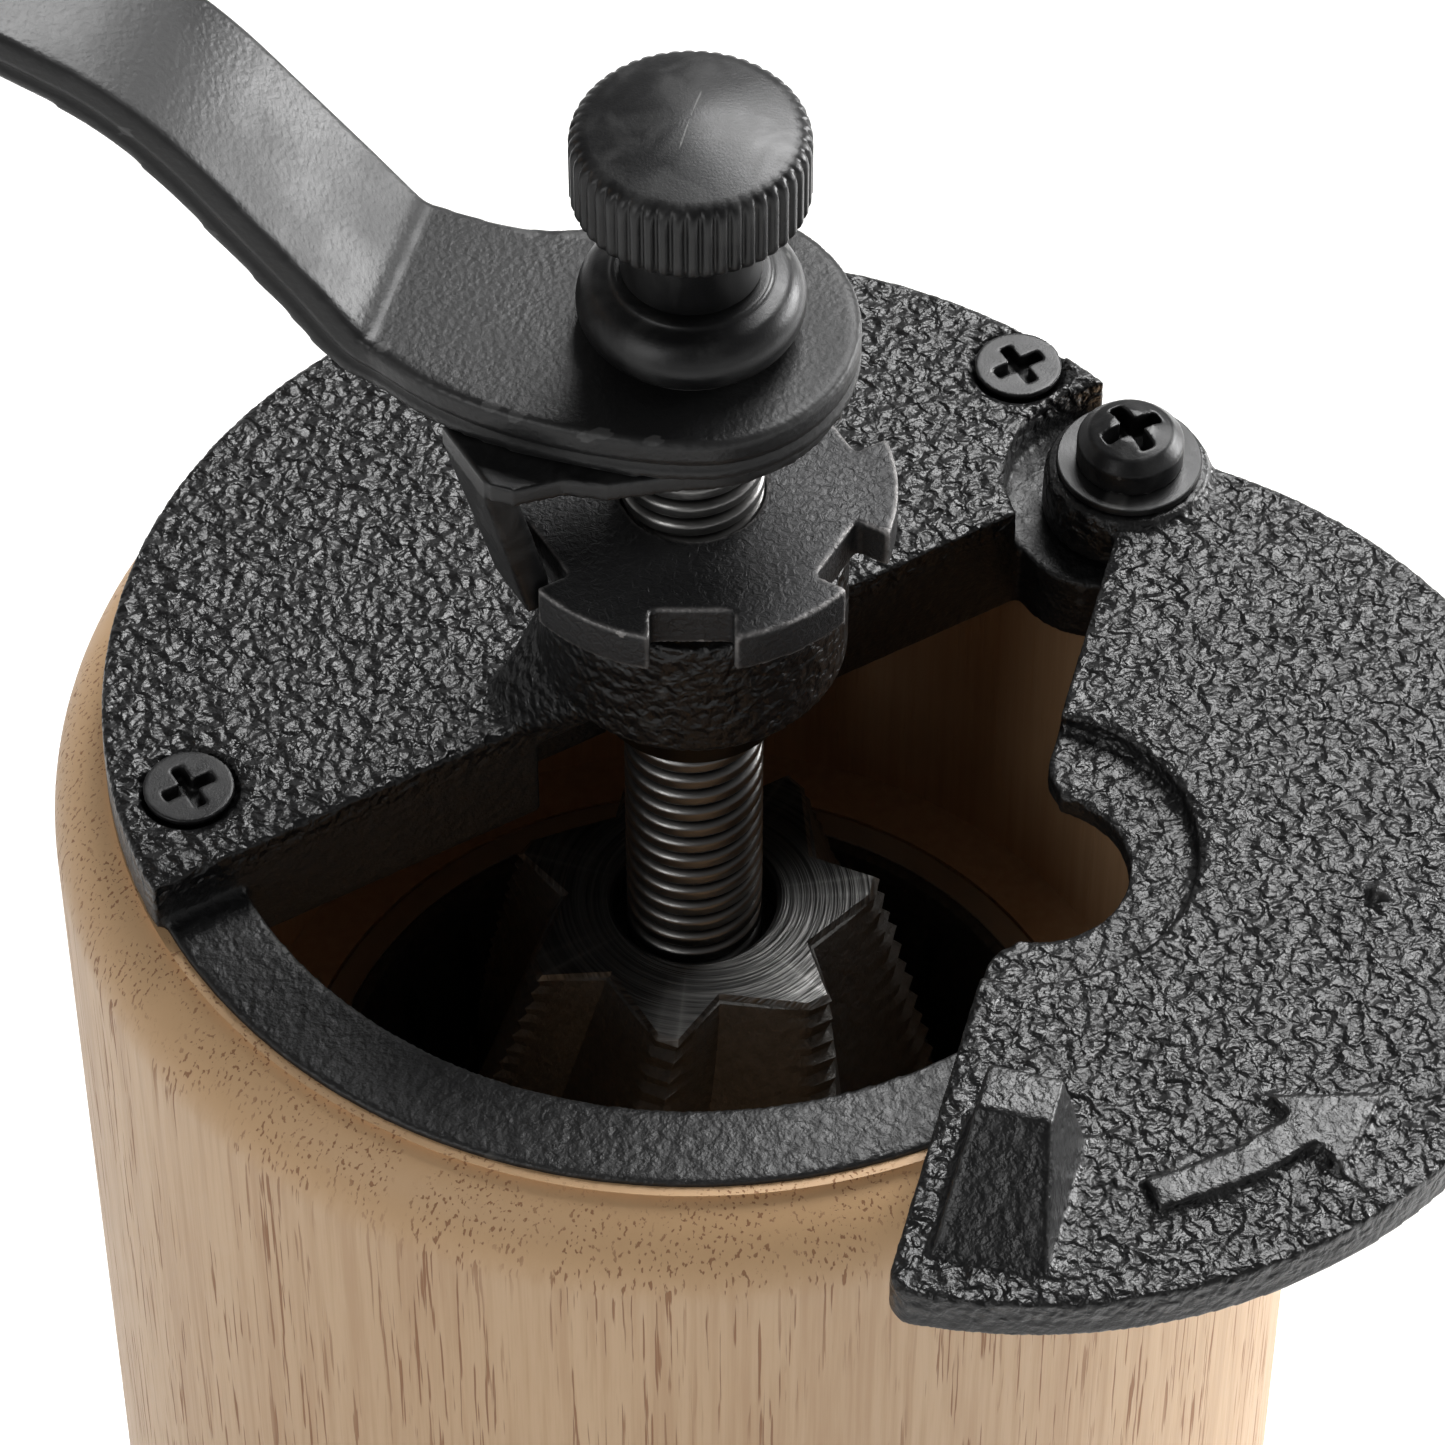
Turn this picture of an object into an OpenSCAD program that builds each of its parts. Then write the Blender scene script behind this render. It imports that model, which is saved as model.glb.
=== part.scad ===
// Hand crank coffee grinder. A turned wooden body carries a cast iron top: a thick half plate at
// the back, a lower ledge ring round the open front half, and a raised hub for the threaded shaft.
// A half-round lid swings over the opening. The shaft turns a conical burr inside a fixed one.
// +Z is up, the origin is the centre of the underside, and +Y points to the closed half of the top.

/* [Body] */
// Diameter of the wooden body
body_d = 92; // [91:0.1:94]
// Height of the grounds cup
cup_h = 58; // [54:1:64]
// Height of the upper face of the cast top above the floor
plate_top = 152; // [150:1:160]
// Radius of the rounded upper edge of the wood
body_edge_r = 7; // [5:0.5:7]
// Diameter of the bean hopper
hopper_d = 70.4; // [70:0.1:71]

/* [Cast top] */
// Diameter of the half plate
plate_d = 83.8; // [83:0.1:84]
// Thickness of the half plate
plate_t = 10; // [8:0.5:10]
// Distance of the straight edge behind the shaft
edge_y = 2.1; // [2:0.1:2.4]
// Depth of the ledge under the face of the half plate
ledge_drop = 4; // [4:0.1:4.4]
// Radius of the hub
hub_r = 10.9; // [10:0.1:11]
// Height of the hub's underside above the plate
hub_low = 4.8; // [4.6:0.1:6]
// Height of the hub's upper face above the plate
hub_high = 15.6; // [15:0.1:15.6]

/* [Lid] */
// Radius of the lid
lid_r = 38.8; // [38.4:0.1:39]
// Thickness of the lid
lid_t = 3.7; // [3:0.1:3.7]
// How far the lid stands open at rest, in degrees
lid_open = 45; // [30:1:48]
// Distance of the lid's pivot from the shaft along X
pivot_x = 37.3; // [37:0.1:37.5]

/* [Crank] */
// Diameter of the threaded shaft
shaft_d = 10; // [10:0.1:10.1]
// Height of the crank's flat end above the plate
arm_low = 33; // [33:0.1:34]
// Thickness of the crank
arm_t = 3.6; // [3:0.1:3.6]
// Rise of the crank's first, steep bend
arm_rise = 16.5; // [14:0.1:18]
// Rise of the crank's second, gentle bend
arm_lift = 7; // [6:0.5:10]
// Distance from the shaft to the grip
arm_reach = 105; // [95:1:120]
// Direction of the crank at rest, in degrees from +X
arm_dir = 134.5; // [120:0.5:150]
// Diameter of the knurled thumb nut
nut_d = 15.9; // [15:0.1:16.4]

/* [Hidden] */
$fn = 96;
body_r = body_d / 2;
hopper_r = hopper_d / 2;
plate_r = plate_d / 2;
shaft_r = shaft_d / 2;
fit = 0.06;
gap = 0.3;
wood_top = plate_top - ledge_drop - 0.5;
seat_z = plate_top - plate_t;
ledge_r = 41.2;
recess_r = 41.6;
hopper_floor = plate_top - 50;
wall = 9;
pad_proud = 0.8;
pad_t = 2.4;
pad_r = 38;
pivot_y = 1.4;
lid_edge_y = 1;
lid_shift = [1.1, 1];
pivot_arc_r = 9;
pivot_collar_r = 5.9;
screw_head_r = 3.2;
left_screw = [-35.5, 8.9];
right_screw = [35.9, 14.4];
spigot_r = 38;
spigot_h = 7;
bush_r = 7;
notch_count = 6;
star_r = 14.1;
star_low = plate_top + 16.9;
star_t = 3.4;
arm_top = plate_top + arm_low + arm_t;
collar_r = 7.7;
collar_h = 5;
neck_r = 4.7;
head_low = plate_top + 48.2;
head_h = 6.1;
cone_h = 1.2;
knurls = 50;
bend_start = 21.2;
bend_end = 36.5;
lift_end = 54;
arm_level = plate_top + arm_low + arm_rise + arm_lift;
grip_top_r = 12.5;
grip_h = 46;
burr_teeth = 7;
burr_top = plate_top - 24.6;
burr_h = 42;
burr_low = burr_top - burr_h;
ring_top = hopper_floor;
ring_t = 17;
ring_low = ring_top - ring_t;
ring_r = 28.4;
ring_bore = 25.2;
holder_low = ring_low - 3;
bridge_t = 7;
bridge_low = burr_low - 5 - bridge_t;
shaft_low = bridge_low - 3;
stud_r = 3;
stud_h = 11;

// One cross-shaped driver recess, cut downwards from z = 0
module cross_recess(span, slot_w, depth) {
    for (turn = [0, 90])
        rotate([0, 0, turn])
            translate([-span / 2, -slot_w / 2, -depth])
                cube([span, slot_w, depth + 1]);
    translate([0, 0, -depth])
        cylinder(r = slot_w * 0.8, h = depth + 1);
}

// Hub-to-rim ring with flat faces
module ring(outer, inner, z_low, height) {
    translate([0, 0, z_low])
        difference() {
            cylinder(r = outer, h = height);
            translate([0, 0, -1])
                cylinder(r = inner, h = height + 2);
        }
}

module grounds_cup() {
    inner_r = body_r - wall;
    floor_t = 9;
    color("burlywood")
        difference() {
            rotate_extrude()
                polygon([[0, pad_proud], [body_r - 1.5, pad_proud], [body_r, pad_proud + 1.5],
                    [body_r, cup_h - 0.6], [body_r - 0.6, cup_h], [0, cup_h]]);
            translate([0, 0, floor_t])
                cylinder(r = inner_r - 2, h = cup_h);
            // Seat for the metal ring in the mouth
            translate([0, 0, cup_h - 8])
                cylinder(r = spigot_r, h = 10);
            // Groove for the pad
            translate([0, 0, pad_proud - 1])
                cylinder(r = pad_r, h = pad_t - pad_proud + 1);
        }
}

module base_pad() {
    color("dimgray")
        cylinder(r = pad_r - gap, h = pad_t);
}

// Metal spigot pressed into the mouth of the cup
module cup_ring() {
    color("silver")
        difference() {
            union() {
                ring(spigot_r, spigot_r - 2.5, cup_h - 8, 8);
                ring(spigot_r - 0.6, spigot_r - 2.5, cup_h, spigot_h);
            }
            ring(spigot_r + 1, spigot_r - 1.6, cup_h + 2.6, 2);
        }
}

// Rubber ring in the groove of the spigot that grips the socket
module cup_seal() {
    color("black")
        ring(spigot_r - 0.1, spigot_r - 1.6, cup_h + 2.6, 2);
}

// Metal socket pressed into the underside of the body
module socket_ring() {
    color("silver")
        ring(spigot_r + 2, spigot_r + 0.2, cup_h + gap, spigot_h + 2);
}

module wood_body() {
    color("burlywood")
        difference() {
            rotate_extrude() {
                translate([0, cup_h + gap])
                    square([body_r - 0.6, wood_top - cup_h - gap]);
                translate([0, cup_h + gap + 0.6])
                    square([body_r, wood_top - body_edge_r - cup_h - gap - 0.6]);
                intersection() {
                    translate([body_r - body_edge_r, wood_top - body_edge_r])
                        circle(r = body_edge_r);
                    translate([0, wood_top - body_edge_r])
                        square([body_r, body_edge_r]);
                }
                translate([0, wood_top - body_edge_r - 1])
                    square([body_r - body_edge_r, body_edge_r + 1]);
            }
            // Seat of the cast top
            translate([0, 0, seat_z])
                cylinder(r = recess_r, h = plate_t);
            // Bean hopper
            translate([0, 0, hopper_floor])
                cylinder(r = hopper_r, h = plate_t + 60);
            // Space round the burrs
            translate([0, 0, cup_h - 1])
                cylinder(r = ring_r + 2.4, h = hopper_floor - cup_h + 2);
            // Counterbore for the burr holder, from below
            translate([0, 0, cup_h - 1])
                cylinder(r = spigot_r - 0.6, h = holder_low - cup_h + 4);
            // Seat for the socket ring
            translate([0, 0, cup_h - 1])
                cylinder(r = spigot_r + 2, h = spigot_h + 3.3);
            for (place = [left_screw, right_screw])
                translate([place[0], place[1], seat_z - 12])
                    cylinder(r = 1.5, h = 20);
            // Pilot holes for the burr holder's screws
            for (k = [0 : 2])
                rotate([0, 0, k * 120 + 90])
                    translate([34, 0, holder_low])
                        cylinder(r = 1.5, h = 12.5);
        }
}

// Area of the half plate, seen from above
module half_plate_area() {
    difference() {
        intersection() {
            circle(r = plate_r);
            translate([-50, edge_y])
                square([100, 50]);
        }
        translate([pivot_x, pivot_y])
            circle(r = pivot_arc_r);
    }
}

module top_plate() {
    color("#1c1c1d")
        difference() {
            union() {
                ring(ledge_r, hopper_r - 0.2, seat_z, plate_t - ledge_drop);
                translate([0, 0, plate_top - ledge_drop - 0.4])
                    linear_extrude(ledge_drop + 0.4)
                        half_plate_area();
                translate([0, 0, seat_z])
                    linear_extrude(plate_t - ledge_drop)
                        intersection() {
                            circle(r = ledge_r);
                            translate([-50, edge_y])
                                square([100, 50]);
                        }
                // Boss under the lid's pivot
                translate([pivot_x - 2.2, pivot_y, seat_z])
                    intersection() {
                        cylinder(r = 6.5, h = plate_t - ledge_drop);
                        translate([2.2 - pivot_x, -pivot_y, -1])
                            cylinder(r = ledge_r, h = 20);
                    }
                // Hub
                translate([0, 0, plate_top + hub_low])
                    cylinder(r = hub_r, h = hub_high - hub_low);
                intersection() {
                    translate([0, 0, plate_top - 1])
                        cylinder(r = hub_r, h = hub_low + 2);
                    translate([-20, edge_y, plate_top - 2])
                        cube([40, 20, 20]);
                }
                hub_web();
            }
            hub_undercut();
            // Bore for the bushing
            translate([0, 0, plate_top - plate_t - 1])
                cylinder(r = bush_r, h = 40);
            // Countersunk screw holes
            for (place = [left_screw, right_screw])
                translate([place[0], place[1], 0]) {
                    translate([0, 0, seat_z - 1])
                        cylinder(r = 2, h = 30);
                    translate([0, 0, plate_top - 2])
                        cylinder(r1 = 2, r2 = screw_head_r + 0.2, h = 1.6);
                    translate([0, 0, plate_top - 0.41])
                        cylinder(r = screw_head_r + 0.4, h = 2);
                }
            // Thread for the lid screw
            translate([pivot_x, pivot_y, seat_z - 1])
                cylinder(r = 2, h = 20);
        }
}

// Sloping web from the overhanging hub down to the straight edge
module hub_web() {
    hull() {
        intersection() {
            translate([0, 0, plate_top + hub_low])
                cylinder(r = hub_r - 0.2, h = 1, $fn = 32);
            translate([-20, -3.5, plate_top])
                cube([40, 40, 20]);
        }
        translate([-hub_r - 2.5, edge_y + 0.2, plate_top - 1])
            cube([2 * hub_r + 5, 4, 0.6]);
    }
}

// Round relief in the front of the casting, under the web
module hub_undercut() {
    translate([0, 0, seat_z - 1])
        difference() {
            cylinder(r = 11.6, h = plate_t - 1.6);
            translate([-20, 6, -1])
                cube([40, 20, 20]);
        }
}

module hub_bushing() {
    color("darkgoldenrod")
        ring(bush_r, shaft_r + fit, plate_top - 1, hub_high + 1);
}

module countersunk_screw() {
    head_z = plate_top + 0.2;
    difference() {
        union() {
            translate([0, 0, head_z - 2])
                cylinder(r1 = 1.9, r2 = screw_head_r, h = 1.6);
            translate([0, 0, head_z - 0.4])
                cylinder(r = screw_head_r, h = 0.4);
            translate([0, 0, seat_z - 10])
                cylinder(r = 1.5, h = 20);
        }
        translate([0, 0, head_z])
            cross_recess(3.9, 0.95, 1.3);
    }
}

module plate_screws() {
    color("#222222")
        for (place = [left_screw, right_screw])
            translate([place[0], place[1], 0])
                countersunk_screw();
}

module thrust_washer() {
    color("darkgoldenrod")
        ring(9, shaft_r + fit, plate_top + hub_high, 1);
}

// Six-notched nut that sets the grind
module adjusting_nut() {
    color("#2b2b2c")
        difference() {
            union() {
                translate([0, 0, star_low])
                    cylinder(r = star_r, h = star_t);
                translate([0, 0, star_low - 0.25])
                    cylinder(r = 9.6, h = 1);
            }
            for (k = [0 : notch_count - 1])
                rotate([0, 0, k * 360 / notch_count])
                    translate([11.3, -2.85, star_low - 1])
                        cube([5, 5.7, star_t + 2]);
            translate([0, 0, star_low - 1])
                cylinder(r = shaft_r + fit, h = 10);
        }
}

// Threaded shaft with a thinner stud on top for the thumb nut
module shaft() {
    flats_z = plate_top + arm_low - 2.2;
    shoulder_z = arm_top - 0.2;
    color("#4a4a4c") {
        difference() {
            translate([0, 0, shaft_low])
                cylinder(r = shaft_r, h = shoulder_z - shaft_low);
            // Two flats that drive the crank and the lock plate
            for (side = [-1, 1])
                rotate([0, 0, arm_dir])
                    translate([-10, side * 7.4 - 3, flats_z])
                        cube([20, 6, shoulder_z - flats_z + 1]);
        }
        translate([0, 0, shoulder_z - 1])
            cylinder(r = stud_r, h = stud_h + 1.2);
    }
}

// Opening that fits over the flats of the shaft
module flats_hole(height) {
    intersection() {
        cylinder(r = shaft_r + 0.02, h = height);
        rotate([0, 0, arm_dir])
            translate([-10, -4.42, 0])
                cube([20, 8.84, height]);
    }
}

// Area of the stamped lock plate: a disc with one wing, whose front edge runs in a wave
module lock_plate_area() {
    circle(r = 10.6);
    polygon([[-4, 9.4], [-10.5, 6.4], [-13.6, 5.6], [-16.4, 4.4], [-17.2, 2.6], [-17.2, -3.4],
        [-16.2, -4.6], [-12.8, -5.4], [-10.6, -7.2], [-4, -9.6]]);
}

// Stamped plate whose bent leg sits in a notch of the adjusting nut
module lock_plate() {
    top = plate_top + arm_low;
    thick = 1.6;
    color("#2a2a2b")
        difference() {
            union() {
                translate([0, 0, top - thick])
                    linear_extrude(thick)
                        lock_plate_area();
                // Leg
                hull() {
                    translate([-17.4, -2.9, top - thick - 0.3])
                        cube([1.8, 5.9, thick + 0.2]);
                    translate([-14.2, -2.45, plate_top + 17.6])
                        cube([1.6, 4.9, 2.8]);
                }
            }
            translate([0, 0, top - thick - 1])
                flats_hole(thick + 2);
        }
}

// Outline of the crank's flat end: s runs along the crank, and the end is round
module arm_end_outline() {
    circle(r = 11.4);
    polygon([[-2, -11.2], [4, -9.9], [8.5, -6.9], [12, -5.5], [16, -5.4], [bend_start, -6.3],
        [bend_start, 7.5], [15.6, 10.2], [10.8, 11.4], [5, 11.8], [0, 11.6], [-2, 11.2]]);
}

// Upright slice of the crank at the distance s, as one end of a hull
module arm_slice(s, right, left, z_low) {
    translate([s - 0.4, right, z_low])
        cube([0.8, left - right, arm_t]);
}

module crank_arm() {
    low = plate_top + arm_low;
    mid = low + arm_rise;
    end_r = 8;
    color("#222223")
        rotate([0, 0, arm_dir])
            difference() {
                union() {
                    translate([0, 0, low])
                        linear_extrude(arm_t)
                            arm_end_outline();
                    // Steep bend
                    hull() {
                        arm_slice(bend_start - 0.4, -6.3, 7.5, low);
                        arm_slice(bend_end, -6.2, 6.2, mid);
                    }
                    // Gentle bend
                    hull() {
                        arm_slice(bend_end, -6.2, 6.2, mid);
                        arm_slice(lift_end, -6, 6, arm_level);
                    }
                    // Level part
                    translate([lift_end - 0.4, -6, arm_level])
                        cube([arm_reach - lift_end + 0.4, 12, arm_t]);
                    translate([arm_reach, 0, arm_level])
                        cylinder(r = end_r, h = arm_t);
                }
                rotate([0, 0, -arm_dir])
                    translate([0, 0, low - 1])
                        flats_hole(arm_t + 2);
                translate([arm_reach, 0, arm_level - 1])
                    cylinder(r = 3, h = arm_t + 2);
            }
}

// Domed collar that presses the crank onto the shaft
module collar() {
    color("#1e1e1f")
        translate([0, 0, arm_top])
            rotate_extrude()
                difference() {
                    union() {
                        square([collar_r - 0.9, 2.6]);
                        translate([collar_r - 2.4, 2.4])
                            circle(r = 2.4);
                        translate([0, 2])
                            square([collar_r - 2.4, 2.8]);
                        square([neck_r + 0.7, collar_h]);
                    }
                    translate([-20, -10])
                        square([20 + stud_r + fit, 30]);
                }
}

// Knurled thumb nut with a neck and a shallow cone on top
module thumb_nut() {
    knurl_depth = 0.35;
    color("#1a1a1b")
        difference() {
            union() {
                translate([0, 0, arm_top + collar_h + 0.1])
                    cylinder(r = neck_r, h = head_low - arm_top - collar_h);
                translate([0, 0, head_low])
                    cylinder(r = nut_d / 2, h = head_h);
                translate([0, 0, head_low + head_h])
                    cylinder(r1 = nut_d / 2 - 0.5, r2 = 0.4, h = cone_h);
            }
            for (k = [0 : knurls - 1])
                rotate([0, 0, k * 360 / knurls])
                    translate([nut_d / 2, 0, head_low - 0.01])
                        cylinder(r = knurl_depth, h = head_h - 1, $fn = 4);
            // Blind thread
            translate([0, 0, arm_top])
                cylinder(r = stud_r + fit, h = stud_h + 1);
        }
}

// Turned wooden grip
module grip() {
    level = arm_level + arm_t;
    color("burlywood")
        rotate([0, 0, arm_dir])
            translate([arm_reach, 0, level + 1.5])
                rotate_extrude()
                    difference() {
                        polygon([[0, 0], [7.4, 0], [8.4, 1], [8.8, 5], [9.6, 12], [11, 20],
                            [12.2, 28], [grip_top_r, 33], [12, 38], [10.2, 42.5], [7, 45.2],
                            [3.5, grip_h], [0, grip_h]]);
                        square([3.6, grip_h - 4]);
                        translate([0, grip_h - 4])
                            square([5.6, 8]);
                    }
}

module grip_spindle() {
    level = arm_level;
    color("silver")
        rotate([0, 0, arm_dir])
            translate([arm_reach, 0, level])
                difference() {
                    union() {
                        // Riveted end under the crank
                        translate([0, 0, -1.6])
                            cylinder(r1 = 3.6, r2 = 4.4, h = 1.6);
                        cylinder(r = 3, h = arm_t);
                        translate([0, 0, arm_t])
                            cylinder(r = 3.54, h = grip_h - 2.2);
                        translate([0, 0, arm_t + grip_h - 2.2])
                            cylinder(r = 5.2, h = 1.6);
                    }
                    translate([0, 0, arm_t + grip_h - 0.6])
                        cross_recess(5, 1.1, 1.2);
                }
}

module grip_washer() {
    color("silver")
        rotate([0, 0, arm_dir])
            translate([arm_reach, 0, 0])
                ring(7, 3.6, arm_level + arm_t, 1.2);
}

// Outline of the closed lid, with the shaft at the origin
module lid_outline() {
    tip_x = lid_shift[0] - lid_r;
    notch = [0.9, -0.2];
    notch_r = 6.6;
    difference() {
        union() {
            intersection() {
                translate(lid_shift)
                    circle(r = lid_r);
                translate([-50, -50])
                    square([100, 50 + lid_edge_y]);
            }
            translate([pivot_x, pivot_y])
                circle(r = pivot_collar_r + gap);
        }
        // Way round the shaft, with rounded shoulders
        translate(notch)
            circle(r = notch_r);
        difference() {
            translate([notch[0] - notch_r - 3, -0.4])
                square([2 * notch_r + 6, 5]);
            for (side = [-1, 1])
                translate([notch[0] + side * (notch_r + 3), lid_edge_y - 3])
                    circle(r = 3);
        }
        // Round tip
        difference() {
            translate([tip_x - 1, lid_edge_y - 2])
                square([3, 5]);
            translate([tip_x + 2, lid_edge_y - 2])
                circle(r = 2);
        }
    }
}

// Lug for the thumb: steep at the end towards the notch, sloping towards the tip of the lid
module thumb_lug() {
    height = 7.9;
    intersection() {
        translate([0, 6, 0])
            rotate([90, 0, 0])
                linear_extrude(12)
                    polygon([[-6.4, 0], [6.2, 0], [5.4, height], [1.6, height], [-4.8, 1.6]]);
        translate([-10, 0, 0])
            rotate([90, 0, 90])
                linear_extrude(20)
                    polygon([[-4.2, 0], [4, 0], [2.8, height], [-2.4, height]]);
    }
}

// Raised arrow that shows the way the crank turns: a bent band and a broad head
module lid_arrow() {
    polygon([[-27.2, -15.2], [-25, -13.6], [-23, -16.4], [-20.6, -19.2], [-17.6, -21.6],
        [-19.2, -24], [-22.2, -21.6], [-24.8, -18.6]]);
    polygon([[-16, -20.2], [-13.8, -27.8], [-21, -26.2]]);
}

// The lid as it lies when closed; place_lid() opens it
module lid_closed() {
    low = plate_top - lid_t;
    top = plate_top;
    difference() {
        union() {
            translate([0, 0, low])
                linear_extrude(lid_t)
                    lid_outline();
            // Collar round the pivot
            translate([pivot_x, pivot_y, top - 1])
                cylinder(r = pivot_collar_r, h = 1.9);
            translate([-28.6, -5.2, top - 0.5])
                thumb_lug();
            translate([0, 0, top - 0.5])
                linear_extrude(1.3)
                    lid_arrow();
            // Small cast dot
            translate([3.2, -24, top - 0.5])
                cylinder(r1 = 1.1, r2 = 0.6, h = 1.3);
        }
        // Recess that clears the web under the hub
        translate([1.4, 0.6, top - 1.6])
            cylinder(r = 12, h = 3);
        translate([pivot_x, pivot_y, low - 1])
            cylinder(r = 2.6 + fit, h = 10);
    }
}

// Turns the lid about its pivot
module place_lid() {
    translate([pivot_x, pivot_y, 0])
        rotate([0, 0, lid_open])
            translate([-pivot_x, -pivot_y, 0])
                children();
}

module lid() {
    color("#1c1c1d")
        place_lid()
            lid_closed();
}

module lid_washer() {
    color("#2a2a2b")
        translate([pivot_x, pivot_y, 0])
            ring(5.3, 2.6 + fit, plate_top + 0.95, 0.6);
}

module lid_screw() {
    head_low_z = plate_top + 1.6;
    color("#222222")
        translate([pivot_x, pivot_y, 0])
            difference() {
                union() {
                    // Thread, shoulder and pan head
                    translate([0, 0, seat_z])
                        cylinder(r = 2, h = plate_t - ledge_drop);
                    translate([0, 0, plate_top - ledge_drop])
                        cylinder(r = 2.6, h = ledge_drop + 1.7);
                    translate([0, 0, head_low_z])
                        cylinder(r = 3.9, h = 1.9);
                    translate([0, 0, head_low_z + 1.9])
                        cylinder(r1 = 3.9, r2 = 3.1, h = 0.9);
                    translate([0, 0, head_low_z + 2.8])
                        cylinder(r1 = 3.1, r2 = 1.6, h = 0.5);
                }
                translate([0, 0, head_low_z + 3.3])
                    cross_recess(4.6, 1.1, 2.2);
            }
}

// Ring and three-armed bridge that carry the fixed burr and the lower bearing
module burr_holder() {
    flange_top = holder_low + 3;
    sleeve_r = ring_r + 2.2;
    bridge_top = bridge_low + bridge_t;
    color("lightgray")
        difference() {
            union() {
                // Sleeve round the fixed burr, with a flange and a lip that carries the burr
                rotate_extrude()
                    polygon([[ring_r - 2, holder_low], [spigot_r - 0.8, holder_low],
                        [spigot_r - 0.8, flange_top], [sleeve_r, flange_top],
                        [sleeve_r, hopper_floor], [ring_r + 0.02, hopper_floor],
                        [ring_r + 0.02, ring_low - 0.01], [ring_r - 2, ring_low - 0.01]]);
                // Three arms, each with a leg up to the flange
                for (k = [0 : 2])
                    rotate([90, 0, k * 120 + 30])
                        translate([0, 0, -3.5])
                            linear_extrude(7)
                                polygon([[3, bridge_low + 0.6], [29.6, bridge_low + 0.6],
                                    [29.6, holder_low + 1], [26.8, holder_low + 1],
                                    [26.8, bridge_top], [3, bridge_top]]);
                translate([0, 0, bridge_low])
                    cylinder(r = 10.2, h = bridge_t + 0.4);
            }
            translate([0, 0, bridge_low - 1])
                cylinder(r = bush_r, h = bridge_t + 4);
            for (k = [0 : 2])
                rotate([0, 0, k * 120 + 90])
                    translate([34, 0, holder_low - 1])
                        cylinder(r = 1.6, h = 6);
        }
}

module holder_screws() {
    color("silver")
        for (k = [0 : 2])
            rotate([0, 0, k * 120 + 90])
                translate([34, 0, holder_low])
                    difference() {
                        union() {
                            translate([0, 0, -1.8])
                                cylinder(r = 2.6, h = 1.8);
                            cylinder(r = 1.5, h = 12);
                        }
                        translate([0, 0, -1.8])
                            mirror([0, 0, 1])
                                cross_recess(3, 0.8, 1);
                    }
}

// Fixed burr: a ring with slanted inner teeth
module outer_burr() {
    teeth = 24;
    color("dimgray")
        translate([0, 0, ring_low])
            difference() {
                cylinder(r = ring_r, h = ring_t);
                translate([0, 0, -1])
                    cylinder(r = ring_bore, h = ring_t + 2);
                translate([0, 0, ring_t - 6])
                    cylinder(r1 = ring_bore, r2 = ring_bore + 2.2, h = 6.01);
                for (k = [0 : teeth - 1])
                    rotate([0, 0, k * 360 / teeth])
                        translate([ring_bore - 1, -1, -1])
                            cube([2.4, 1.6, ring_t + 2]);
            }
}

// Saw-toothed outline of the moving burr, with its outer radius given
module burr_outline(tip_r, valley_r) {
    step = 360 / burr_teeth;
    polygon([for (k = [0 : burr_teeth - 1])
        for (corner = [[tip_r, -26], [valley_r, -7]])
            corner[0] * [cos(k * step + corner[1]), sin(k * step + corner[1])]]);
}

module inner_burr() {
    color("#4a4a48")
        difference() {
            union() {
                translate([0, 0, burr_low])
                    linear_extrude(burr_h, scale = 13.8 / 24.6)
                        burr_outline(24.6, 19);
                translate([0, 0, burr_low])
                    cylinder(r = 22, h = 6);
            }
            translate([0, 0, burr_low - 1])
                cylinder(r = shaft_r + 0.02, h = burr_h + 2);
            translate([0, 0, burr_top - 4])
                cylinder(r = 6.1, h = 5);
        }
}

module burr_washer() {
    color("silver")
        ring(9, shaft_r + 0.02, burr_low - 1, 1);
}

// Hexagonal nut that holds the moving burr on the shaft
module burr_nut() {
    color("silver")
        translate([0, 0, burr_low - 3])
            difference() {
                cylinder(r = 8.6, h = 2, $fn = 6);
                translate([0, 0, -1])
                    cylinder(r = shaft_r + 0.02, h = 4);
            }
}

module lower_bushing() {
    color("darkgoldenrod")
        ring(bush_r, shaft_r + fit, bridge_low, bridge_t);
}

grounds_cup();
base_pad();
cup_ring();
cup_seal();
wood_body();
socket_ring();
top_plate();
hub_bushing();
plate_screws();
thrust_washer();
adjusting_nut();
shaft();
lock_plate();
crank_arm();
collar();
thumb_nut();
grip();
grip_spindle();
grip_washer();
lid();
lid_washer();
lid_screw();
burr_holder();
holder_screws();
outer_burr();
inner_burr();
burr_washer();
burr_nut();
lower_bushing();
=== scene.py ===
"""Looks of the hand crank coffee grinder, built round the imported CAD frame.

Lengths are in millimetres, and MM turns them into Blender's metres. Z runs up the shaft's axis from the
underside of the pad, so PLATE_TOP is the height of the cast top's upper face. The softboxes are in metres.
"""
import math

import bmesh
import bpy
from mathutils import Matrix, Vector, noise


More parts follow.
